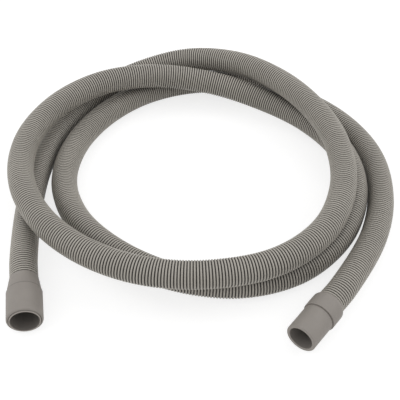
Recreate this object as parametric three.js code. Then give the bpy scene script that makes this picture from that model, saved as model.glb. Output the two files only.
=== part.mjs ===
// Corrugated drain hose with two plain push-on cuffs, lying in two and three quarter loose loops.
// Millimetres, +Z up. The hose rests on the plane z = 0, with the middle of its outline over the origin.
// The wide cuff points along -Y and the narrow cuff points along -X and -Y.

import * as THREE from 'three';

// Hose
const HOSE_OUTER_DIAMETER = 22.5; // over the crests of the corrugation
const HOSE_BORE_DIAMETER = 18;
const HOSE_SECTION_SIDES = 12;
const HOSE_STEPS = 80;
const HOSE_STRAIGHT_LEAD = 20; // the hose leaves each cuff in line with it
const JOINT_GAP = 0.3; // between the end face of the hose and a cuff

// Wide cuff, for a 22 mm spigot
const WIDE_CUFF_LENGTH = 41.5;
const WIDE_CUFF_BODY_DIAMETER = 28;
const WIDE_CUFF_NECK_DIAMETER = 22.8; // end of the cone, at the hose
const WIDE_CUFF_BORE_DIAMETER = 22;
const WIDE_CUFF_BORE_DEPTH = 29;
const WIDE_CUFF_LIP_WIDTH = 0.7; // flat ring round the mouth
const WIDE_CUFF_MOUTH_BEVEL = 2;
const WIDE_CUFF_STEP_HEIGHT = 0.75; // small step from the body to the cone
const WIDE_CUFF_STEP_LENGTH = 1.2;
const WIDE_CUFF_CONE_LENGTH = 11.9;
const WIDE_CUFF_HEADING = 0; // degrees from +Y towards +X, looking from the mouth to the hose

// Narrow cuff, for a 19 mm spigot
const NARROW_CUFF_LENGTH = 41.2;
const NARROW_CUFF_SPIGOT_LENGTH = 24.4; // the slim part in front of the collar
const NARROW_CUFF_MOUTH_DIAMETER = 24.4;
const NARROW_CUFF_SPIGOT_DIAMETER = 24.6; // the slim part widens to this at the collar
const NARROW_CUFF_COLLAR_DIAMETER = 26.5;
const NARROW_CUFF_BORE_DIAMETER = 19.2;
const NARROW_CUFF_BORE_DEPTH = 31;
const NARROW_CUFF_GROOVE_WIDTH = 0.7;
const NARROW_CUFF_GROOVE_DEPTH = 0.5;
const NARROW_CUFF_SHOULDER_LENGTH = 3.6;
const NARROW_CUFF_HEADING = 47.3;

// Both cuffs
const LEAD_IN = 0.3; // bevel at the inner edge of a mouth
const MOUTH_ROUNDING = 0.7; // outer edge of the narrow mouth
const STOP_BEVEL = 1.2; // length of the slope that stops the spigot
const CUFF_SEGMENTS = 48;

// Route of the hose between its ends, in order from the wide cuff to the narrow one.
// It lies on the floor and passes over itself in long, low humps.
const WIDE_END = [-155.6, -82.3];
const NARROW_END = [74.43, -144.56];
const ROUTE = [
  // first turn, which climbs over the far side
  [-149.8, 2.1, 12.3],
  [-138.8, 54.2, 11.4],
  [-118.8, 101.6, 11.5],
  [-85.6, 141.4, 13.6],
  [-40.1, 166.6, 19.9],
  [10.8, 168.4, 29.6],
  [56.6, 144.9, 37.5],
  [90.9, 105.6, 40.7],
  [112.8, 58.3, 40.9],
  [121.1, 7.1, 39.3],
  [111.8, -44.0, 36.9],
  [84.1, -87.8, 35.1],
  [40.0, -114.6, 35.1],
  [-11.9, -119.8, 35.7],
  // second turn, which stays on top at the near side and comes down at the far side
  [-62.2, -108.2, 35.4],
  [-106.0, -80.4, 35.3],
  [-138.2, -39.6, 35.6],
  [-153.3, 10.3, 36.6],
  [-146.1, 61.1, 37.8],
  [-116.5, 104.2, 39.3],
  [-72.5, 131.2, 39.0],
  [-21.4, 139.4, 34.5],
  [29.4, 130.4, 27.0],
  [75.2, 106.5, 20.1],
  [111.9, 70.0, 16.9],
  [132.1, 22.2, 16.6],
  [129.0, -29.8, 15.5],
  [104.4, -75.1, 12.9],
  [62.2, -105.5, 11.3],
  [11.3, -113.9, 12.2],
  // third turn, on the floor
  [-38.7, -100.3, 14.7],
  [-80.5, -69.6, 16.5],
  [-109.7, -26.5, 16.1],
  [-119.0, 24.0, 14.0],
  [-105.9, 74.3, 12.5],
  [-75.0, 116.2, 12.0],
  [-31.5, 144.3, 12.1],
  [19.8, 153.4, 12.0],
  [71.0, 140.7, 11.5],
  [113.2, 109.9, 11.3],
  [144.0, 67.6, 11.5],
  [158.1, 17.4, 11.6],
  [151.7, -33.8, 11.3],
  [129.6, -81.9, 11.6],
];

// Unit vector in the floor plane, from the heading of a cuff.
function headingVector(degrees) {
  const angle = THREE.MathUtils.degToRad(degrees);
  return new THREE.Vector3(Math.sin(angle), Math.cos(angle), 0);
}

// End of the hose at a cuff that rests on the floor on its widest part.
function hoseEnd(place, restingDiameter) {
  return new THREE.Vector3(place[0], place[1], restingDiameter / 2);
}

const wideDirection = headingVector(WIDE_CUFF_HEADING);
const narrowDirection = headingVector(NARROW_CUFF_HEADING);
const wideEnd = hoseEnd(WIDE_END, WIDE_CUFF_BODY_DIAMETER);
const narrowEnd = hoseEnd(NARROW_END, NARROW_CUFF_COLLAR_DIAMETER);

function hoseCurve() {
  const points = [
    wideEnd,
    wideEnd.clone().addScaledVector(wideDirection, HOSE_STRAIGHT_LEAD),
    ...ROUTE.map((p) => new THREE.Vector3(...p)),
    narrowEnd.clone().addScaledVector(narrowDirection, HOSE_STRAIGHT_LEAD),
    narrowEnd,
  ];
  const curve = new THREE.CatmullRomCurve3(points, false, 'centripetal');
  curve.arcLengthDivisions = 2000;
  return curve;
}

function hoseGeometry() {
  const section = new THREE.Shape();
  for (let i = 0; i < HOSE_SECTION_SIDES; i += 1) {
    const angle = (i / HOSE_SECTION_SIDES) * 2 * Math.PI;
    const x = (HOSE_OUTER_DIAMETER / 2) * Math.cos(angle);
    const y = (HOSE_OUTER_DIAMETER / 2) * Math.sin(angle);
    if (i === 0) section.moveTo(x, y);
    else section.lineTo(x, y);
  }
  section.closePath();
  return new THREE.ExtrudeGeometry(section, {
    steps: HOSE_STEPS,
    extrudePath: hoseCurve(),
    bevelEnabled: false,
  });
}

// Cuff turned from a closed profile of [radius, distance from the mouth].
function cuffGeometry(profile) {
  const points = profile.map(([radius, station]) => new THREE.Vector2(radius, station));
  points.push(points[0].clone());
  return new THREE.LatheGeometry(points, CUFF_SEGMENTS);
}

// Inside of a cuff, from the hose to the mouth: hose bore, stop, spigot bore and lead-in.
function cuffBore(length, boreDiameter, boreDepth) {
  const hoseBore = HOSE_BORE_DIAMETER / 2;
  const bore = boreDiameter / 2;
  return [
    [hoseBore, length],
    [hoseBore, boreDepth + STOP_BEVEL],
    [bore, boreDepth],
    [bore, LEAD_IN],
    [bore + LEAD_IN, 0],
  ];
}

function wideCuffProfile() {
  const lip = WIDE_CUFF_BORE_DIAMETER / 2 + LEAD_IN + WIDE_CUFF_LIP_WIDTH;
  const body = WIDE_CUFF_BODY_DIAMETER / 2;
  const neck = WIDE_CUFF_NECK_DIAMETER / 2;
  const coneStart = WIDE_CUFF_LENGTH - WIDE_CUFF_CONE_LENGTH;
  return [
    [lip, 0],
    [lip, WIDE_CUFF_MOUTH_BEVEL * 0.4],
    [lip + (body - lip) * 0.55, WIDE_CUFF_MOUTH_BEVEL * 0.45],
    [lip + (body - lip) * 0.87, WIDE_CUFF_MOUTH_BEVEL * 0.68],
    [body, WIDE_CUFF_MOUTH_BEVEL],
    [body, coneStart - WIDE_CUFF_STEP_LENGTH],
    [body - WIDE_CUFF_STEP_HEIGHT, coneStart],
    [neck, WIDE_CUFF_LENGTH],
    ...cuffBore(WIDE_CUFF_LENGTH, WIDE_CUFF_BORE_DIAMETER, WIDE_CUFF_BORE_DEPTH),
  ];
}

function narrowCuffProfile() {
  const mouth = NARROW_CUFF_MOUTH_DIAMETER / 2;
  const spigot = NARROW_CUFF_SPIGOT_DIAMETER / 2;
  const collar = NARROW_CUFF_COLLAR_DIAMETER / 2;
  const neck = HOSE_OUTER_DIAMETER / 2;
  const grooveFloor = spigot - NARROW_CUFF_GROOVE_DEPTH;
  const collarStart = NARROW_CUFF_SPIGOT_LENGTH + NARROW_CUFF_GROOVE_WIDTH;
  const shoulderStart = NARROW_CUFF_LENGTH - NARROW_CUFF_SHOULDER_LENGTH;
  const shoulder = (share, drop) => [
    neck + (collar - neck) * drop,
    shoulderStart + NARROW_CUFF_SHOULDER_LENGTH * share,
  ];
  return [
    [mouth - MOUTH_ROUNDING, 0],
    [mouth - MOUTH_ROUNDING * 0.3, MOUTH_ROUNDING * 0.3],
    [mouth, MOUTH_ROUNDING],
    [spigot, NARROW_CUFF_SPIGOT_LENGTH],
    [grooveFloor, NARROW_CUFF_SPIGOT_LENGTH],
    [grooveFloor, collarStart],
    [collar, collarStart],
    [collar, shoulderStart],
    shoulder(0.33, 0.81),
    shoulder(0.8, 0.3),
    [neck, NARROW_CUFF_LENGTH],
    ...cuffBore(NARROW_CUFF_LENGTH, NARROW_CUFF_BORE_DIAMETER, NARROW_CUFF_BORE_DEPTH),
  ];
}

// Moulded pieces, matt grey
const hoseMaterial = new THREE.MeshStandardMaterial({ color: 0x8c8981, roughness: 0.55, metalness: 0 });
const wideCuffMaterial = new THREE.MeshStandardMaterial({ color: 0x8f8a84, roughness: 0.7, metalness: 0 });
const narrowCuffMaterial = wideCuffMaterial.clone();

// Puts a cuff in line with the hose, one joint gap in front of its end face.
function placeCuff(mesh, end, direction, length) {
  mesh.quaternion.setFromUnitVectors(new THREE.Vector3(0, 1, 0), direction);
  mesh.position.copy(end).addScaledVector(direction, -(JOINT_GAP + length));
}

const hose = new THREE.Mesh(hoseGeometry(), hoseMaterial);
hose.name = 'corrugated_hose';

const wideCuff = new THREE.Mesh(cuffGeometry(wideCuffProfile()), wideCuffMaterial);
wideCuff.name = 'wide_cuff';
placeCuff(wideCuff, wideEnd, wideDirection, WIDE_CUFF_LENGTH);

const narrowCuff = new THREE.Mesh(cuffGeometry(narrowCuffProfile()), narrowCuffMaterial);
narrowCuff.name = 'narrow_cuff';
placeCuff(narrowCuff, narrowEnd, narrowDirection, NARROW_CUFF_LENGTH);

const drainHose = new THREE.Group();
drainHose.name = 'drain_hose';
drainHose.add(hose, wideCuff, narrowCuff);

export default drainHose;
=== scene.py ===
"""Looks for a corrugated drain hose that lies in loose loops, with a push-on cuff on each end.

Laid out as an add-on: sizes and finishes are properties, each piece is made by an operator, and a
panel in the sidebar lists them. Everything is in metres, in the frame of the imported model.
"""

import math

import bmesh
import bpy
from bpy.props import FloatProperty, FloatVectorProperty, IntProperty, PointerProperty
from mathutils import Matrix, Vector, kdtree


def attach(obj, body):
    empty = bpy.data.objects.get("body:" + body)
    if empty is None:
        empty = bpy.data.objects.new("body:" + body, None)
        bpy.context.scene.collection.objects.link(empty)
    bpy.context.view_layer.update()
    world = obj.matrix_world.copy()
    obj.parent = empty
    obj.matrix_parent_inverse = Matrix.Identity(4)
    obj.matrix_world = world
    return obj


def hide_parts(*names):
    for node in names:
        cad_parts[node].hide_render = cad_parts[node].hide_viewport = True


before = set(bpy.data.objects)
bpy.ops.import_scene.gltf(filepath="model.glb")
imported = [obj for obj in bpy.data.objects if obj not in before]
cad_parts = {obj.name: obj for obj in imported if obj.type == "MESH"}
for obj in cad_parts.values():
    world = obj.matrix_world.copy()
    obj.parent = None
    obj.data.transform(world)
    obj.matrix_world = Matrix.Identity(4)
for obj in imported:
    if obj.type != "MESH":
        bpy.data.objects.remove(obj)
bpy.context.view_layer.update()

bl_info = {
    "name": "Corrugated drain hose",
    "version": (1, 0, 0),
    "blender": (4, 5, 0),
    "location": "View3D > Sidebar > Drain Hose",
    "description": "Ribbed hose with two moulded cuffs, its finishes and its studio",
    "category": "Object",
}

MM = 0.001

# The same route as the solid hose, in metres: the two ends, and the points between them.
WIDE_END = (-0.1556, -0.0823)
NARROW_END = (0.07443, -0.14456)
WIDE_HEADING = 0.0  # of the hose where it leaves the cuff, from +Y towards +X
NARROW_HEADING = math.radians(47.3)
STRAIGHT_LEAD = 0.020  # length in line with each cuff
ROUTE = (
    # first turn, which climbs over the far side
    (-0.1498, 0.0021, 0.0123), (-0.1388, 0.0542, 0.0114), (-0.1188, 0.1016, 0.0115),
    (-0.0856, 0.1414, 0.0136), (-0.0401, 0.1666, 0.0199), (0.0108, 0.1684, 0.0296),
    (0.0566, 0.1449, 0.0375), (0.0909, 0.1056, 0.0407), (0.1128, 0.0583, 0.0409),
    (0.1211, 0.0071, 0.0393), (0.1118, -0.0440, 0.0369), (0.0841, -0.0878, 0.0351),
    (0.0400, -0.1146, 0.0351), (-0.0119, -0.1198, 0.0357),
    # second turn, on top at the near side, coming down at the far side
    (-0.0622, -0.1082, 0.0354), (-0.1060, -0.0804, 0.0353), (-0.1382, -0.0396, 0.0356),
    (-0.1533, 0.0103, 0.0366), (-0.1461, 0.0611, 0.0378), (-0.1165, 0.1042, 0.0393),
    (-0.0725, 0.1312, 0.0390), (-0.0214, 0.1394, 0.0345), (0.0294, 0.1304, 0.0270),
    (0.0752, 0.1065, 0.0201), (0.1119, 0.0700, 0.0169), (0.1321, 0.0222, 0.0166),
    (0.1290, -0.0298, 0.0155), (0.1044, -0.0751, 0.0129), (0.0622, -0.1055, 0.0113),
    (0.0113, -0.1139, 0.0122),
    # third turn, on the floor
    (-0.0387, -0.1003, 0.0147), (-0.0805, -0.0696, 0.0165), (-0.1097, -0.0265, 0.0161),
    (-0.1190, 0.0240, 0.0140), (-0.1059, 0.0743, 0.0125), (-0.0750, 0.1162, 0.0120),
    (-0.0315, 0.1443, 0.0121), (0.0198, 0.1534, 0.0120), (0.0710, 0.1407, 0.0115),
    (0.1132, 0.1099, 0.0113), (0.1440, 0.0676, 0.0115), (0.1581, 0.0174, 0.0116),
    (0.1517, -0.0338, 0.0113), (0.1296, -0.0819, 0.0116),
)

# Camera of the picture, fitted to the visible edges of the hose
CAMERA_PLACE = (-0.0886, -0.5150, 0.5072)
CAMERA_DOWN = math.radians(44.36)
CAMERA_HEADING = math.radians(9.54)
FOCAL_LENGTH_PER_WIDTH = 2.05
SENSOR_WIDTH = 36  # in millimetres, as Blender takes it

# Softboxes: name, place of the middle, side of the square, and power in watts
SOFTBOXES = (
    ("left_softbox", (-1.3, 0.0, 1.0), 1.2, 5.2),
    ("right_softbox", (1.3, 0.1, 1.0), 1.2, 6.0),
    ("top_softbox", (0.0, 0.6, 1.5), 1.4, 2.0),
)
ROOM_LIGHT = 0.61  # strength of the even light from all round
FLOOR_HALF_SIDE = 6
FLOOR_VEIL = 0.4  # grey of the floor where it is seen, which takes the shadow
FLOOR_GLOW = 0.76  # what lifts that grey towards white

# How finely the route is drawn
HOSE_STEPS = 40  # to each span of the route, about 1.3 mm long, for the mesh
DECLARED_STEPS = 6  # to each span, for a coarser path that the cuffs operator works out and doesn't use

# Painted shade where one turn of the hose lies close to another
OWN_STRETCH = 60 * MM  # hose on either side of a point that doesn't count as another turn
CONTACT_SHADE_REACH = 5 * MM  # the widest gap to another turn that still gets painted shade

# Details of the cuffs, as in the solids
LEAD_IN = 0.3 * MM  # bevel at the inner edge of a mouth
STOP_BEVEL = 1.2 * MM  # length of the slope that stops the spigot
WIDE_BORE_DEPTH = 29 * MM
WIDE_LIP_WIDTH = 0.7 * MM
WIDE_MOUTH_BEVEL = 2.0 * MM
WIDE_CONE_LENGTH = 11.9 * MM
NARROW_BORE_DEPTH = 31 * MM
NARROW_MOUTH_RADIUS = 12.2 * MM
NARROW_SPIGOT_RADIUS = 12.3 * MM
NARROW_SPIGOT_LENGTH = 24.4 * MM
NARROW_GROOVE_WIDTH = 0.7 * MM
NARROW_GROOVE_DEPTH = 0.5 * MM
NARROW_SHOULDER_LENGTH = 3.6 * MM

# Painted light and shade on the rubber, times the colour of the cuffs
PLAIN = 1
LIP_HIGHLIGHT = 1.35  # painted highlight on the lip
INNER_EDGE_SHADE = 0.75  # painted shade where the lead-in meets the bore
CREVICE_SHADE = 0.55  # painted shade in the crevice behind the lip
CUFF_BORE_SHADE = 0.5  # painted shade in the bore

# The most of an edge that the rounding at one of its ends may take
CORNER_REACH = 0.45


# Properties


class HoseSettings(bpy.types.PropertyGroup):
    """Sizes of the corrugated hose"""
    outer_diameter: FloatProperty(
        name="Outer diameter", description="Across the crests of the ribs",
        default=22.5 * MM, min=0.005, unit="LENGTH", subtype="DISTANCE")
    rib_depth: FloatProperty(
        name="Rib depth", description="From the crest of a rib to the floor of the groove",
        default=0.75 * MM, min=0.0001, unit="LENGTH", subtype="DISTANCE")
    rib_pitch: FloatProperty(
        name="Rib pitch", description="From one rib to the next along the hose",
        default=2.28 * MM, min=0.0005, unit="LENGTH", subtype="DISTANCE")
    crest_share: FloatProperty(
        name="Crest share", description="Part of the pitch that the crest takes",
        default=0.46, min=0.1, max=0.8, subtype="FACTOR")
    flank_share: FloatProperty(
        name="Flank share", description="Part of the pitch that each flank takes",
        default=0.12, min=0.02, max=0.4, subtype="FACTOR")
    bore_diameter: FloatProperty(
        name="Bore diameter", description="Inside of the hose",
        default=18 * MM, min=0.003, unit="LENGTH", subtype="DISTANCE")
    sides: IntProperty(
        name="Sides", description="Faces round each rib", default=20, min=8, max=64)


class CuffSettings(bpy.types.PropertyGroup):
    """Sizes of the two cuffs"""
    wide_body: FloatProperty(
        name="Wide body", description="Outer diameter of the wide cuff",
        default=28 * MM, unit="LENGTH", subtype="DISTANCE")
    wide_neck: FloatProperty(
        name="Wide neck", description="Outer diameter of the wide cuff where it meets the hose",
        default=22.8 * MM, unit="LENGTH", subtype="DISTANCE")
    wide_length: FloatProperty(
        name="Wide length", description="Length of the wide cuff",
        default=41.5 * MM, unit="LENGTH", subtype="DISTANCE")
    wide_bore: FloatProperty(
        name="Wide bore", description="Inner diameter at the mouth of the wide cuff",
        default=22 * MM, unit="LENGTH", subtype="DISTANCE")
    narrow_collar: FloatProperty(
        name="Narrow collar", description="Outer diameter of the collar of the narrow cuff",
        default=26.5 * MM, unit="LENGTH", subtype="DISTANCE")
    narrow_length: FloatProperty(
        name="Narrow length", description="Length of the narrow cuff",
        default=41.2 * MM, unit="LENGTH", subtype="DISTANCE")
    narrow_bore: FloatProperty(
        name="Narrow bore", description="Inner diameter at the mouth of the narrow cuff",
        default=19.2 * MM, unit="LENGTH", subtype="DISTANCE")
    gap: FloatProperty(
        name="Joint gap", description="Between the end of the hose and a cuff",
        default=0.3 * MM, unit="LENGTH", subtype="DISTANCE")
    segments: IntProperty(
        name="Segments", description="Faces round a cuff", default=128, min=24, max=256)


def hex_to_linear(text):
    """A colour written as sRGB hex, as the linear values that shaders use."""
    values = [int(text[i:i + 2], 16) / 255 for i in (0, 2, 4)]
    return [v / 12.92 if v <= 0.04045 else ((v + 0.055) / 1.055) ** 2.4 for v in values]


class FinishSettings(bpy.types.PropertyGroup):
    """Colours of the hose, the cuffs and the floor"""
    hose_colour: FloatVectorProperty(
        name="Hose", description="Grey polypropylene of the hose",
        default=hex_to_linear("B2ADA4"), subtype="COLOR", min=0, max=1)
    # Painted shade: the dark groove colour stands in for the shade deep between the ribs.
    groove_shade_colour: FloatVectorProperty(
        name="Groove", description="Hose between its ribs, where handling doesn't polish it",
        default=hex_to_linear("302C29"), subtype="COLOR", min=0, max=1)
    cuff_colour: FloatVectorProperty(
        name="Cuff", description="Grey soft rubber of the cuffs",
        default=hex_to_linear("938D87"), subtype="COLOR", min=0, max=1)
    floor_colour: FloatVectorProperty(
        name="Floor", description="Pale studio floor",
        default=hex_to_linear("F4F3F1"), subtype="COLOR", min=0, max=1)


# Nodes and materials


def add_node(tree, kind, inputs=None, **settings):
    """Adds a node with its settings; an input is linked if it is a socket, and set if it isn't."""
    node = tree.nodes.new(kind)
    for name, value in settings.items():
        setattr(node, name, value)
    for name, value in (inputs or {}).items():
        if isinstance(value, bpy.types.NodeSocket):
            tree.links.new(value, node.inputs[name])
        else:
            node.inputs[name].default_value = value
    return node


def new_material(name):
    """An empty node material."""
    material = bpy.data.materials.new(name)
    material.use_nodes = True
    material.node_tree.nodes.clear()
    return material


def moulded_polypropylene(name, finish):
    """Polypropylene, extruded and moulded into ribs: satin, a little shinier on the crests, with
    slow drifts of tone along the hose, a faint moulded grain, and painted shade in the grooves and
    between its turns."""
    material = new_material(name)
    tree = material.node_tree
    place = add_node(tree, "ShaderNodeTexCoord").outputs["Object"]
    groove = add_node(tree, "ShaderNodeAttribute", attribute_name="groove").outputs["Fac"]
    contact_shade = add_node(tree, "ShaderNodeAttribute", attribute_name="contact_shade").outputs["Fac"]
    # slow drift of tone, about 40 mm long
    drift = add_node(tree, "ShaderNodeTexNoise",
                     {"Vector": place, "Scale": 1 / (40 * MM), "Detail": 2.0})
    # moulded grain of about 0.5 mm, drawn coarser than the real one so that it shows
    grain = add_node(tree, "ShaderNodeTexNoise",
                     {"Vector": place, "Scale": 1 / (0.5 * MM), "Detail": 2.0})
    tone = add_node(tree, "ShaderNodeMapRange",
                    {"Value": drift.outputs["Fac"], "From Min": 0.3, "From Max": 0.7,
                     "To Min": 0.94, "To Max": 1.06})
    # the groove colour paints shade between the ribs, and half of it in the bore
    colour = add_node(tree, "ShaderNodeMix",
                      {0: groove, 6: (*finish.hose_colour, 1), 7: (*finish.groove_shade_colour, 1)},
                      data_type="RGBA")
    # painted shade, darker where another turn lies close
    turn_shade = add_node(tree, "ShaderNodeMapRange",
                      {"Value": contact_shade, "To Min": 1.0, "To Max": 0.3}).outputs["Result"]
    tone = add_node(tree, "ShaderNodeMath", {0: tone.outputs["Result"], 1: turn_shade},
                    operation="MULTIPLY")
    shade = add_node(tree, "ShaderNodeVectorMath",
                     {0: colour.outputs[2], "Scale": tone.outputs[0]},
                     operation="SCALE")
    rough = add_node(tree, "ShaderNodeMapRange", {"Value": groove, "To Min": 0.48, "To Max": 0.7})
    bump = add_node(tree, "ShaderNodeBump",
                    {"Height": grain.outputs["Fac"], "Strength": 0.12, "Distance": 0.1 * MM})
    shader = add_node(tree, "ShaderNodeBsdfPrincipled",
                      {"IOR": 1.49, "Metallic": 0.0, "Base Color": shade.outputs["Vector"],
                       "Roughness": rough.outputs["Result"], "Normal": bump.outputs["Normal"]})
    add_node(tree, "ShaderNodeOutputMaterial", {"Surface": shader.outputs["BSDF"]})
    return material


def moulded_rubber(name, finish):
    """Soft thermoplastic rubber, injection moulded: matt, with a fine spark-eroded grain and a
    slightly cloudy grey, with a painted highlight on the lip and painted shade in the crevice, on
    the step and in the bore."""
    material = new_material(name)
    tree = material.node_tree
    place = add_node(tree, "ShaderNodeTexCoord").outputs["Object"]
    painted_light_and_shade = add_node(tree, "ShaderNodeAttribute", attribute_name="painted_light_and_shade").outputs["Fac"]
    # clouds of about 12.5 mm in the colour
    cloud = add_node(tree, "ShaderNodeTexNoise",
                     {"Vector": place, "Scale": 1 / (12.5 * MM), "Detail": 3.0})
    # spark-eroded grain of about 0.4 mm, drawn coarser than the real one so that it shows
    grain = add_node(tree, "ShaderNodeTexNoise",
                     {"Vector": place, "Scale": 1 / (0.4 * MM), "Detail": 3.0})
    tone = add_node(tree, "ShaderNodeMapRange",
                    {"Value": cloud.outputs["Fac"], "From Min": 0.3, "From Max": 0.7,
                     "To Min": 0.96, "To Max": 1.04})
    tone = add_node(tree, "ShaderNodeMath", {0: tone.outputs["Result"], 1: painted_light_and_shade},
                    operation="MULTIPLY")
    shade = add_node(tree, "ShaderNodeVectorMath",
                     {0: tuple(finish.cuff_colour), "Scale": tone.outputs[0]},
                     operation="SCALE")
    rough = add_node(tree, "ShaderNodeMapRange",
                     {"Value": grain.outputs["Fac"], "From Min": 0.3, "From Max": 0.7,
                      "To Min": 0.55, "To Max": 0.68})
    bump = add_node(tree, "ShaderNodeBump",
                    {"Height": grain.outputs["Fac"], "Strength": 0.15, "Distance": 0.1 * MM})
    shader = add_node(tree, "ShaderNodeBsdfPrincipled",
                      {"IOR": 1.5, "Metallic": 0.0, "Base Color": shade.outputs["Vector"],
                       "Roughness": rough.outputs["Result"], "Normal": bump.outputs["Normal"]})
    add_node(tree, "ShaderNodeOutputMaterial", {"Surface": shader.outputs["BSDF"]})
    return material


def seen_directly(tree):
    """1 for what the camera sees, also in a gloss or through glass, and 0 for light on a piece."""
    path = add_node(tree, "ShaderNodeLightPath").outputs
    seen = add_node(tree, "ShaderNodeMath",
                    {0: path["Is Camera Ray"], 1: path["Is Glossy Ray"]}, operation="MAXIMUM")
    seen = add_node(tree, "ShaderNodeMath",
                    {0: seen.outputs[0], 1: path["Is Transmission Ray"]}, operation="MAXIMUM")
    return seen.outputs[0]


def studio_floor(name, finish):
    """Pale matt floor that keeps the shadow and is lifted towards white where it is seen."""
    material = new_material(name)
    tree = material.node_tree
    matt = add_node(tree, "ShaderNodeBsdfDiffuse", {"Color": (*finish.floor_colour, 1)})
    veil = add_node(tree, "ShaderNodeBsdfDiffuse",
                    {"Color": (FLOOR_VEIL, FLOOR_VEIL, FLOOR_VEIL, 1)})
    white = add_node(tree, "ShaderNodeEmission", {"Strength": FLOOR_GLOW})
    lifted = add_node(tree, "ShaderNodeAddShader", {0: veil.outputs[0], 1: white.outputs[0]})
    mix = add_node(tree, "ShaderNodeMixShader",
                   {0: seen_directly(tree), 1: matt.outputs[0], 2: lifted.outputs[0]})
    add_node(tree, "ShaderNodeOutputMaterial", {"Surface": mix.outputs[0]})
    return material


def finish_material(name, maker):
    """The named material, made once."""
    found = bpy.data.materials.get(name)
    return found or maker(name, bpy.context.scene.drain_finish)


# Route


def heading_vector(angle):
    """Unit vector on the floor, from a heading measured from +Y towards +X."""
    return Vector((math.sin(angle), math.cos(angle), 0))


def route_points(cuffs):
    """The points that the middle of the hose passes through, ends first and last."""
    wide = Vector((*WIDE_END, cuffs.wide_body / 2))
    narrow = Vector((*NARROW_END, cuffs.narrow_collar / 2))
    return [
        wide,
        wide + heading_vector(WIDE_HEADING) * STRAIGHT_LEAD,
        *(Vector(p) for p in ROUTE),
        narrow + heading_vector(NARROW_HEADING) * STRAIGHT_LEAD,
        narrow,
    ]


def smooth_route(points, steps):
    """Centripetal Catmull-Rom curve through the points, with a number of steps to each span."""
    padded = [points[0] * 2 - points[1], *points, points[-1] * 2 - points[-2]]
    result = []
    for p0, p1, p2, p3 in zip(padded, padded[1:], padded[2:], padded[3:]):
        d0, d1, d2 = ((b - a).length ** 0.5 for a, b in ((p0, p1), (p1, p2), (p2, p3)))
        start = ((p1 - p0) / d0 - (p2 - p0) / (d0 + d1) + (p2 - p1) / d1) * d1
        end = ((p2 - p1) / d1 - (p3 - p1) / (d1 + d2) + (p3 - p2) / d2) * d1
        for step in range(steps):
            t = step / steps
            square = (p2 - p1) * 3 - start * 2 - end
            cube = (p1 - p2) * 2 + start + end
            result.append(p1 + start * t + square * t ** 2 + cube * t ** 3)
    result.append(points[-1].copy())
    return result


def route_length(points):
    """Length of the straight pieces between the points."""
    return sum((b - a).length for a, b in zip(points, points[1:]))


# Corrugated hose


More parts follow.
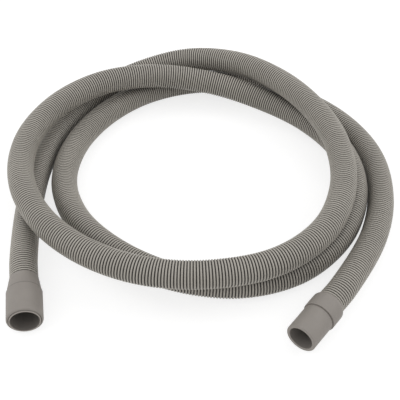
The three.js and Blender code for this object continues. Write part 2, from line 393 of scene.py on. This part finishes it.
def rib_tree():
    """Geometry nodes that sweep ribs along a curve, with a plain bore inside."""
    tree = bpy.data.node_groups.new("corrugated_ribs", "GeometryNodeTree")
    face = tree.interface
    face.new_socket("Geometry", in_out="OUTPUT", socket_type="NodeSocketGeometry")
    face.new_socket("Geometry", in_out="INPUT", socket_type="NodeSocketGeometry")
    for name in ("Rib Pitch", "Crest Radius", "Groove Radius", "Bore Radius", "Crest Share",
                 "Flank Share"):
        face.new_socket(name, in_out="INPUT", socket_type="NodeSocketFloat")
    face.new_socket("Sides", in_out="INPUT", socket_type="NodeSocketInt")
    face.new_socket("Material", in_out="INPUT", socket_type="NodeSocketMaterial")
    given = tree.nodes.new("NodeGroupInput").outputs
    curve = given["Geometry"]
    length = add_node(tree, "GeometryNodeCurveLength", {"Curve": curve}).outputs["Length"]

    # a whole number of ribs, and four rings for each: two in the groove, then two on the crest
    rings_per_rib = 4.0
    ribs = add_node(tree, "ShaderNodeMath", {0: length, 1: given["Rib Pitch"]},
                    operation="DIVIDE").outputs[0]
    ribs = add_node(tree, "ShaderNodeMath", {0: ribs}, operation="ROUND").outputs[0]
    pitch = add_node(tree, "ShaderNodeMath", {0: length, 1: ribs},
                     operation="DIVIDE").outputs[0]
    rings = add_node(tree, "ShaderNodeMath", {0: ribs, 1: rings_per_rib, 2: 1.0},
                     operation="MULTIPLY_ADD").outputs[0]
    crowded = add_node(tree, "GeometryNodeResampleCurve", {"Curve": curve, "Count": rings})
    index = add_node(tree, "GeometryNodeInputIndex").outputs[0]
    corner = add_node(tree, "ShaderNodeMath", {0: index, 1: rings_per_rib},
                      operation="MODULO").outputs[0]
    rib = add_node(tree, "ShaderNodeMath", {0: index, 1: 1 / rings_per_rib},
                   operation="MULTIPLY").outputs[0]
    rib = add_node(tree, "ShaderNodeMath", {0: rib}, operation="FLOOR").outputs[0]

    # where the four rings stand within the pitch
    crest_start = add_node(tree, "ShaderNodeMath", {0: 1.0, 1: given["Crest Share"]},
                           operation="SUBTRACT").outputs[0]
    crest_start = add_node(tree, "ShaderNodeMath", {0: crest_start, 1: given["Flank Share"]},
                           operation="SUBTRACT").outputs[0]
    groove_end = add_node(tree, "ShaderNodeMath", {0: crest_start, 1: given["Flank Share"]},
                          operation="SUBTRACT").outputs[0]
    crest_end = add_node(tree, "ShaderNodeMath", {0: 1.0, 1: given["Flank Share"]},
                         operation="SUBTRACT").outputs[0]
    share = tree.nodes.new("GeometryNodeIndexSwitch")
    share.data_type = "FLOAT"
    while len(share.index_switch_items) < rings_per_rib:
        share.index_switch_items.new()
    tree.links.new(corner, share.inputs["Index"])
    share.inputs["0"].default_value = 0.0
    for name, socket in (("1", groove_end), ("2", crest_start), ("3", crest_end)):
        tree.links.new(socket, share.inputs[name])
    station = add_node(tree, "ShaderNodeMath", {0: rib, 1: share.outputs[0]},
                       operation="ADD").outputs[0]
    station = add_node(tree, "ShaderNodeMath", {0: station, 1: pitch},
                       operation="MULTIPLY").outputs[0]
    sample = add_node(tree, "GeometryNodeSampleCurve", {"Curves": curve, "Length": station},
                      mode="LENGTH")
    spaced = add_node(tree, "GeometryNodeSetPosition",
                      {"Geometry": crowded.outputs[0], "Position": sample.outputs["Position"]})
    in_groove = add_node(tree, "ShaderNodeMath", {0: corner, 1: 1.5},
                         operation="LESS_THAN").outputs[0]
    radius = add_node(tree, "ShaderNodeMapRange",
                      {"Value": in_groove, "To Min": given["Crest Radius"],
                       "To Max": given["Groove Radius"]}).outputs["Result"]
    marked = add_node(tree, "GeometryNodeStoreNamedAttribute",
                      {"Geometry": spaced.outputs[0], "Name": "groove", "Value": in_groove},
                      data_type="FLOAT", domain="POINT")
    marked = add_node(tree, "GeometryNodeStoreNamedAttribute",
                      {"Geometry": marked.outputs[0], "Name": "ring", "Value": index},
                      data_type="FLOAT", domain="POINT")
    ring = add_node(tree, "GeometryNodeCurvePrimitiveCircle",
                    {"Radius": 1.0, "Resolution": given["Sides"]}, mode="RADIUS")
    outside = add_node(tree, "GeometryNodeCurveToMesh",
                       {"Curve": marked.outputs[0], "Profile Curve": ring.outputs[0],
                        "Scale": radius})

    # the bore needs only enough rings to follow the bends, and takes half the painted shade of a
    # groove
    bore_pitch, hose_bore_shade = 12 * MM, 0.5
    bore_rings = add_node(tree, "ShaderNodeMath", {0: length, 1: bore_pitch},
                          operation="DIVIDE").outputs[0]
    sparse = add_node(tree, "GeometryNodeResampleCurve", {"Curve": curve, "Count": bore_rings})
    bored = add_node(tree, "GeometryNodeStoreNamedAttribute",
                     {"Geometry": sparse.outputs[0], "Name": "groove", "Value": hose_bore_shade},
                     data_type="FLOAT", domain="POINT")
    inside = add_node(tree, "GeometryNodeCurveToMesh",
                      {"Curve": bored.outputs[0], "Profile Curve": ring.outputs[0],
                       "Scale": given["Bore Radius"]})
    turned = add_node(tree, "GeometryNodeFlipFaces", {"Mesh": inside.outputs[0]})
    joined = add_node(tree, "GeometryNodeJoinGeometry", {0: outside.outputs[0]})
    tree.links.new(turned.outputs[0], joined.inputs[0])
    smooth = add_node(tree, "GeometryNodeSetShadeSmooth", {"Geometry": joined.outputs[0]})

    # Both edges of the groove's floor stay sharp. On an edge that runs round the hose, the
    # average of the ring numbers of its two points is a whole number.
    ring_number = add_node(tree, "GeometryNodeInputNamedAttribute", {"Name": "ring"},
                           data_type="FLOAT").outputs["Attribute"]
    fraction = add_node(tree, "ShaderNodeMath", {0: ring_number}, operation="FRACT").outputs[0]
    runs_round = add_node(tree, "ShaderNodeMath", {0: fraction, 1: 0.25},
                          operation="LESS_THAN").outputs[0]
    on_floor = add_node(tree, "GeometryNodeInputNamedAttribute", {"Name": "groove"},
                        data_type="FLOAT").outputs["Attribute"]
    sharp = add_node(tree, "ShaderNodeMath", {0: runs_round, 1: on_floor},
                     operation="MULTIPLY").outputs[0]
    creased = add_node(tree, "GeometryNodeSetShadeSmooth",
                       {"Geometry": smooth.outputs[0], "Selection": sharp,
                        "Shade Smooth": False}, domain="EDGE")
    real = add_node(tree, "GeometryNodeRealizeInstances", {"Geometry": creased.outputs[0]})
    dressed = add_node(tree, "GeometryNodeSetMaterial",
                       {"Geometry": real.outputs[0], "Material": given["Material"]})
    add_node(tree, "NodeGroupOutput", {0: dressed.outputs[0]})
    return tree


def add_modifier_values(modifier, values):
    """Sets a nodes modifier's inputs by the identifiers of the named sockets."""
    for item in modifier.node_group.interface.items_tree:
        if item.in_out == "INPUT" and item.name in values:
            modifier[item.identifier] = values[item.name]


def close_ends(mesh):
    """Joins the ribs to the bore at both ends of the hose, and turns every face outwards."""
    work = bmesh.new()
    work.from_mesh(mesh)
    vertex_count = len(work.verts)
    unsorted = {edge for edge in work.edges if edge.is_boundary}
    loops = []
    while unsorted:
        waiting = [unsorted.pop()]
        loop = list(waiting)
        while waiting:
            for vert in waiting.pop().verts:
                for edge in vert.link_edges:
                    if edge in unsorted:
                        unsorted.discard(edge)
                        waiting.append(edge)
                        loop.append(edge)
        loops.append(loop)
    if len(loops) != 4:
        raise RuntimeError(f"the hose has {len(loops)} open rims and should have 4")

    def centre(loop):
        """Middle of a loop, each of whose points belongs to two of its edges."""
        return sum((v.co for e in loop for v in e.verts), Vector()) / (2 * len(loop))

    first = loops.pop(0)
    while first:
        partner = min(loops, key=lambda other: (centre(other) - centre(first)).length)
        loops.remove(partner)
        bmesh.ops.bridge_loops(work, edges=first + partner)
        first = loops.pop(0) if loops else None
    bmesh.ops.recalc_face_normals(work, faces=work.faces)
    if any(not edge.is_manifold for edge in work.edges) or vertex_count != len(work.verts):
        raise RuntimeError("the hose isn't closed")
    work.to_mesh(mesh)
    work.free()


def paint_contact_shade(mesh, route, radius):
    """Marks points from 0 to 1 by how close another turn of the hose is, for painted shade there.
    """
    spacing = route_length(route) / (len(route) - 1)
    own_points = OWN_STRETCH / spacing
    tree = kdtree.KDTree(len(route))
    for i, point in enumerate(route):
        tree.insert(point, i)
    tree.balance()
    amounts = []
    for vert in mesh.vertices:
        near = tree.find_range(vert.co, radius + CONTACT_SHADE_REACH)
        own = min(near, key=lambda hit: hit[2])[1]
        gaps = [hit[2] - radius for hit in near if abs(hit[1] - own) > own_points]
        amounts.append(min(1.0, max(0.0, 1 - min(gaps, default=CONTACT_SHADE_REACH) / CONTACT_SHADE_REACH)))
    mesh.attributes.new("contact_shade", "FLOAT", "POINT").data.foreach_set("value", amounts)


class DRAIN_OT_corrugated_hose(bpy.types.Operator):
    """Makes the ribbed hose along its route"""
    bl_idname = "drain.corrugated_hose"
    bl_label = "Corrugated hose"

    def execute(self, context):
        hose = context.scene.drain_hose
        points = smooth_route(route_points(context.scene.drain_cuffs), HOSE_STEPS)
        curve = bpy.data.curves.new("hose_route", "CURVE")
        curve.dimensions = "3D"
        curve.twist_mode = "MINIMUM"
        spline = curve.splines.new("POLY")
        spline.points.add(len(points) - 1)
        spline.points.foreach_set("co", [x for p in points for x in (*p, 1)])
        guide = bpy.data.objects.new("hose_route", curve)
        context.collection.objects.link(guide)
        ribs = guide.modifiers.new("ribs", "NODES")
        ribs.node_group = rib_tree()
        crest = hose.outer_diameter / 2
        add_modifier_values(ribs, {
            "Rib Pitch": hose.rib_pitch,
            "Crest Radius": crest,
            "Groove Radius": crest - hose.rib_depth,
            "Bore Radius": hose.bore_diameter / 2,
            "Crest Share": hose.crest_share,
            "Flank Share": hose.flank_share,
            "Sides": hose.sides,
            "Material": finish_material("polypropylene_corrugated_moulded",
                                        moulded_polypropylene),
        })
        context.view_layer.update()
        evaluated = guide.evaluated_get(context.evaluated_depsgraph_get())
        mesh = bpy.data.meshes.new_from_object(evaluated)
        guide.modifiers.remove(ribs)
        bpy.data.objects.remove(guide)
        close_ends(mesh)
        paint_contact_shade(mesh, points, crest)
        mesh.name = "ribbed_hose"
        piece = bpy.data.objects.new("ribbed_hose", mesh)
        context.collection.objects.link(piece)
        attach(piece, "root")
        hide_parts("corrugated_hose")
        return {"FINISHED"}


# Cuffs


def rounded(profile, steps=4):
    """A closed outline of (radius, station, rounding, tone) corners, with each corner rounded; the
    tone is the painted light and shade there.
    """
    result = []
    for i, (radius, station, rounding, tone) in enumerate(profile):
        here = Vector((radius, station))
        before = Vector(profile[i - 1][:2])
        after = Vector(profile[(i + 1) % len(profile)][:2])
        if rounding == 0:
            result.append((here, tone))
            continue
        reach_in = min(rounding, (before - here).length * CORNER_REACH)
        reach_out = min(rounding, (after - here).length * CORNER_REACH)
        a = here + (before - here).normalized() * reach_in
        b = here + (after - here).normalized() * reach_out
        for k in range(steps + 1):
            t = k / steps
            result.append((a * (1 - t) ** 2 + here * 2 * t * (1 - t) + b * t ** 2, tone))
    return result


def turned_cuff(name, profile, end, heading, length, cuffs):
    """Turns a profile about the line of the hose's end, and seats it one gap in front of it."""
    direction = heading_vector(heading)
    mouth = end - direction * (cuffs.gap + length)
    work = bmesh.new()
    turns = cuffs.segments
    up = Vector((0, 0, 1))
    side = direction.cross(up)
    outline = rounded(profile)
    rings = []
    for k in range(turns):
        angle = 2 * math.pi * k / turns
        out = up * math.cos(angle) + side * math.sin(angle)
        rings.append([work.verts.new(mouth + out * p.x + direction * p.y) for p, _ in outline])
    for ring, following in zip(rings, rings[1:] + rings[:1]):
        for i in range(len(outline)):
            j = (i + 1) % len(outline)
            work.faces.new((ring[i], ring[j], following[j], following[i]))
    bmesh.ops.recalc_face_normals(work, faces=work.faces)
    for face in work.faces:
        face.smooth = True
    mesh = bpy.data.meshes.new(name)
    work.to_mesh(mesh)
    work.free()
    painted_light_and_shade = mesh.attributes.new("painted_light_and_shade", "FLOAT", "POINT")
    painted_light_and_shade.data.foreach_set("value", [tone for _, tone in outline] * turns)
    mesh.materials.append(finish_material("thermoplastic_rubber_moulded", moulded_rubber))
    piece = bpy.data.objects.new(name, mesh)
    bpy.context.collection.objects.link(piece)
    return piece


def cuff_bore(length, bore, depth, hose_bore, mouth_painted_light):
    """Inside of a cuff, from the hose to the mouth: hose bore, stop, spigot bore and lead-in."""
    return [
        (hose_bore, length, 0, CUFF_BORE_SHADE),
        (hose_bore, depth + STOP_BEVEL, 0.3 * MM, CUFF_BORE_SHADE),
        (bore, depth, 0.3 * MM, CUFF_BORE_SHADE),
        (bore, LEAD_IN, 0.2 * MM, INNER_EDGE_SHADE),
        (bore + LEAD_IN, 0, 0.1 * MM, mouth_painted_light),
    ]


def wide_profile(cuffs, hose_bore):
    """Bell cuff: thin lip, bevelled mouth, straight body, small step and a cone to the hose."""
    length, body, bore = cuffs.wide_length, cuffs.wide_body / 2, cuffs.wide_bore / 2
    neck = cuffs.wide_neck / 2
    lip = bore + LEAD_IN + WIDE_LIP_WIDTH
    crevice_width, crevice_depth = 0.4 * MM, 1.5 * MM
    cone = length - WIDE_CONE_LENGTH
    step_floor = body - 0.6 * MM
    step_shade_dark, step_shade_light = 0.7, 0.75  # painted shade along the floor of the step
    return [
        (lip, 0, 0.2 * MM, LIP_HIGHLIGHT),
        # crevice between the lip and the bevel, with painted shade in it
        (lip, crevice_depth, 0, CREVICE_SHADE),
        (lip + crevice_width, crevice_depth, 0, CREVICE_SHADE),
        # bevel, which rounds over into the body
        (lip + 0.5 * MM, 0.8 * MM, 0.1 * MM, PLAIN),
        (lip + 1.1 * MM, 0.9 * MM, 0.3 * MM, PLAIN),
        (lip + 1.74 * MM, 1.36 * MM, 0.4 * MM, PLAIN),
        (body, WIDE_MOUTH_BEVEL, 0.6 * MM, PLAIN),
        # step down to the cone, and the cone
        (body, cone - 2.4 * MM, 0.15 * MM, PLAIN),
        (step_floor, cone - 1.9 * MM, 0.1 * MM, step_shade_dark),
        (step_floor, cone - 1.3 * MM, 0.1 * MM, step_shade_light),
        (step_floor + 0.05 * MM, cone - 1.1 * MM, 0.1 * MM, PLAIN),
        (neck, length, 0.2 * MM, PLAIN),
        *cuff_bore(length, bore, WIDE_BORE_DEPTH, hose_bore, LIP_HIGHLIGHT),
    ]


def narrow_profile(cuffs, neck, hose_bore):
    """Straight cuff: thick rim, slim push-on part, groove, collar and shoulder."""
    length, collar, bore = cuffs.narrow_length, cuffs.narrow_collar / 2, cuffs.narrow_bore / 2
    groove = NARROW_SPIGOT_LENGTH
    groove_end = groove + NARROW_GROOVE_WIDTH
    groove_floor = NARROW_SPIGOT_RADIUS - NARROW_GROOVE_DEPTH
    shoulder = length - NARROW_SHOULDER_LENGTH
    fall = collar - neck
    return [
        (NARROW_MOUTH_RADIUS, 0, 0.75 * MM, PLAIN),
        (NARROW_SPIGOT_RADIUS, groove, 0.15 * MM, PLAIN),
        (groove_floor, groove, 0.1 * MM, PLAIN),
        (groove_floor, groove_end, 0.1 * MM, PLAIN),
        (collar, groove_end, 0.3 * MM, PLAIN),
        (collar, shoulder, 1.0 * MM, PLAIN),
        # shoulder, which drops in a soft bow
        (neck + fall * 0.81, shoulder + 1.19 * MM, 0.7 * MM, PLAIN),
        (neck + fall * 0.3, shoulder + 2.88 * MM, 0.7 * MM, PLAIN),
        (neck, length, 0.2 * MM, PLAIN),
        *cuff_bore(length, bore, NARROW_BORE_DEPTH, hose_bore, PLAIN),
    ]


class DRAIN_OT_cuffs(bpy.types.Operator):
    bl_idname = "drain.cuffs"
    bl_label = "Cuffs"

    def execute(self, context):
        scene = context.scene
        cuffs, hose = scene.drain_cuffs, scene.drain_hose
        points = route_points(cuffs)
        neck, hose_bore = hose.outer_diameter / 2, hose.bore_diameter / 2
        wide = turned_cuff("bell_cuff", wide_profile(cuffs, hose_bore),
                           points[0], WIDE_HEADING, cuffs.wide_length, cuffs)
        narrow = turned_cuff("collared_cuff", narrow_profile(cuffs, neck, hose_bore),
                             points[-1], NARROW_HEADING, cuffs.narrow_length, cuffs)
        for piece, node in ((wide, "wide_cuff"), (narrow, "narrow_cuff")):
            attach(piece, "root")
            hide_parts(node)
        path = smooth_route(points, DECLARED_STEPS)
        return {"FINISHED"}


# Studio


class DRAIN_OT_camera(bpy.types.Operator):
    """Sets up the camera of the picture"""
    bl_idname = "drain.camera"
    bl_label = "Camera"

    def execute(self, context):
        data = bpy.data.cameras.new("picture_camera")
        data.sensor_fit = "HORIZONTAL"
        data.sensor_width = SENSOR_WIDTH
        data.lens = SENSOR_WIDTH * FOCAL_LENGTH_PER_WIDTH
        data.clip_start = 0.01
        data.clip_end = 20
        data.dof.use_dof = False
        camera = bpy.data.objects.new("picture_camera", data)
        camera.location = CAMERA_PLACE
        camera.rotation_euler = (math.pi / 2 - CAMERA_DOWN, 0, -CAMERA_HEADING)
        context.collection.objects.link(camera)
        context.scene.camera = camera
        return {"FINISHED"}


class DRAIN_OT_stage(bpy.types.Operator):
    """Lays the pale floor and sets the soft studio light"""
    bl_idname = "drain.stage"
    bl_label = "Stage"

    def execute(self, context):
        scene = context.scene
        work = bmesh.new()
        bmesh.ops.create_grid(work, x_segments=1, y_segments=1, size=FLOOR_HALF_SIDE)
        mesh = bpy.data.meshes.new("studio_floor")
        work.to_mesh(mesh)
        work.free()
        mesh.materials.append(finish_material("studio_floor_pale", studio_floor))
        floor = bpy.data.objects.new("studio_floor", mesh)
        scene.collection.objects.link(floor)

        world = bpy.data.worlds.new("studio_world")
        scene.world = world
        world.use_nodes = True
        tree = world.node_tree
        tree.nodes.clear()
        light = add_node(tree, "ShaderNodeBackground",
                         {"Color": (1, 1, 1, 1), "Strength": ROOM_LIGHT})
        white = add_node(tree, "ShaderNodeBackground",
                         {"Color": (1, 1, 1, 1), "Strength": 1.0})
        mix = add_node(tree, "ShaderNodeMixShader",
                       {0: seen_directly(tree), 1: light.outputs[0], 2: white.outputs[0]})
        add_node(tree, "ShaderNodeOutputWorld", {"Surface": mix.outputs[0]})

        for name, place, size, power in SOFTBOXES:
            lamp = bpy.data.lights.new(name, "AREA")
            lamp.shape = "SQUARE"
            lamp.size = size
            lamp.energy = power
            holder = bpy.data.objects.new(name, lamp)
            holder.location = place
            holder.rotation_euler = Vector(place).to_track_quat("Z", "Y").to_euler()
            scene.collection.objects.link(holder)
        scene.view_settings.view_transform = "Standard"
        return {"FINISHED"}


# Panel and registration


class DRAIN_PT_panel(bpy.types.Panel):
    """Sizes and finishes of the hose, and the operators that make it"""
    bl_idname = "DRAIN_PT_panel"
    bl_label = "Drain Hose"
    bl_space_type = "VIEW_3D"
    bl_region_type = "UI"
    bl_category = "Drain Hose"

    def draw(self, context):
        for group in (context.scene.drain_hose, context.scene.drain_cuffs,
                      context.scene.drain_finish):
            box = self.layout.box()
            for name in group.__annotations__:
                box.prop(group, name)
        for operator in OPERATORS:
            self.layout.operator(operator.bl_idname)


GROUPS = {
    "drain_hose": HoseSettings,
    "drain_cuffs": CuffSettings,
    "drain_finish": FinishSettings,
}
OPERATORS = (DRAIN_OT_camera, DRAIN_OT_corrugated_hose, DRAIN_OT_cuffs, DRAIN_OT_stage)
CLASSES = (*GROUPS.values(), *OPERATORS, DRAIN_PT_panel)


def register():
    """Makes the classes and the three groups of settings known to Blender."""
    for cls in CLASSES:
        bpy.utils.register_class(cls)
    for name, group in GROUPS.items():
        setattr(bpy.types.Scene, name, PointerProperty(type=group))


def unregister():
    """Takes them away again."""
    for name in GROUPS:
        delattr(bpy.types.Scene, name)
    for cls in reversed(CLASSES):
        bpy.utils.unregister_class(cls)


def main():
    """Makes the dressed hose and its studio."""
    register()
    bpy.ops.drain.camera()
    bpy.ops.drain.corrugated_hose()
    bpy.ops.drain.cuffs()
    bpy.ops.drain.stage()


if __name__ == "__main__":
    main()
